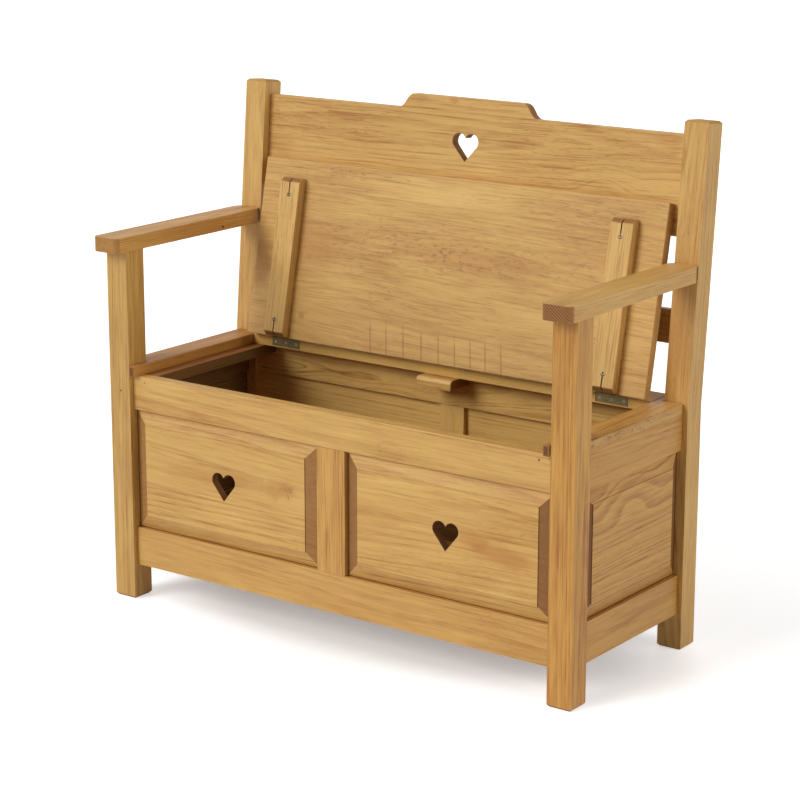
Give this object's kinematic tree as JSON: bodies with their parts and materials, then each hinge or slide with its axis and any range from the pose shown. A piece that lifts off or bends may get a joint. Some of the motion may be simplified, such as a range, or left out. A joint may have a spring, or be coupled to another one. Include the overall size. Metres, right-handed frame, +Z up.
{
  "type": "settle bench",
  "caption": "Pine settle bench with a frame-and-panel storage box, hinged seat lid, two arms, a raked crest rail and heart cut-outs.",
  "frame": {"origin": "on the floor, under the middle of the bench's overall box", "axes": "+X to the right of someone who looks at the front, -Y towards the front, +Z up"},
  "size_m": [1.051, 0.4958, 0.9598],
  "materials": {
    "pine": "honey-coloured waxed pine, satin",
    "pale_pine": "paler planed pine, satin",
    "bronzed_steel": "bronzed pressed steel, dull",
    "bright_steel": "zinc-plated steel"
  },
  "bodies": {
    "frame": {"arm_screw_left": "bright_steel", "arm_screw_right": "bright_steel", "armrest_left": "pine", "armrest_right": "pine", "back_bottom_rail": "pine", "back_mid_rail": "pine", "back_muntin": "pine", "back_panel_left": "pale_pine", "back_panel_right": "pale_pine", "back_top_rail": "pine", "bottom_board": "pale_pine", "bottom_cleat_back": "pine", "bottom_cleat_front": "pine", "crest_rail": "pine", "fixed_leaf_screw_left_1": "bright_steel", "fixed_leaf_screw_left_2": "bright_steel", "fixed_leaf_screw_left_3": "bright_steel", "fixed_leaf_screw_right_1": "bright_steel", "fixed_leaf_screw_right_2": "bright_steel", "fixed_leaf_screw_right_3": "bright_steel", "front_bottom_rail": "pine", "front_muntin": "pine", "front_panel_left": "pine", "front_panel_right": "pine", "front_post_left": "pine", "front_post_right": "pine", "front_top_rail": "pine", "hinge_fixed_leaf_left": "bronzed_steel", "hinge_fixed_leaf_right": "bronzed_steel", "hinge_pin_left": "bronzed_steel", "hinge_pin_right": "bronzed_steel", "hinge_strip": "pine", "lid_rest_block": "pine", "rear_post_left": "pine", "rear_post_right": "pine", "seat_bearer_left": "pine", "seat_bearer_right": "pine", "seat_strip_left": "pine", "seat_strip_right": "pine", "side_bottom_rail_left": "pine", "side_bottom_rail_right": "pine", "side_panel_left": "pine", "side_panel_right": "pine", "side_top_rail_left": "pine", "side_top_rail_right": "pine"},
    "lid": {"batten_screw_left_front": "bright_steel", "batten_screw_left_rear": "bright_steel", "batten_screw_right_front": "bright_steel", "batten_screw_right_rear": "bright_steel", "hinge_lid_leaf_left": "bronzed_steel", "hinge_lid_leaf_right": "bronzed_steel", "lid_batten_left": "pale_pine", "lid_batten_right": "pale_pine", "lid_board": "pine", "lid_leaf_screw_left_1": "bright_steel", "lid_leaf_screw_left_2": "bright_steel", "lid_leaf_screw_left_3": "bright_steel", "lid_leaf_screw_right_1": "bright_steel", "lid_leaf_screw_right_2": "bright_steel", "lid_leaf_screw_right_3": "bright_steel"}
  },
  "joints": [
    {"name": "lid_hinge", "type": "hinge", "parent": "frame", "child": "lid", "pos_m": [0, 0.13525, 0.4658], "axis": [1, 0, 0], "range_deg": [0, 101.64]}
  ]
}
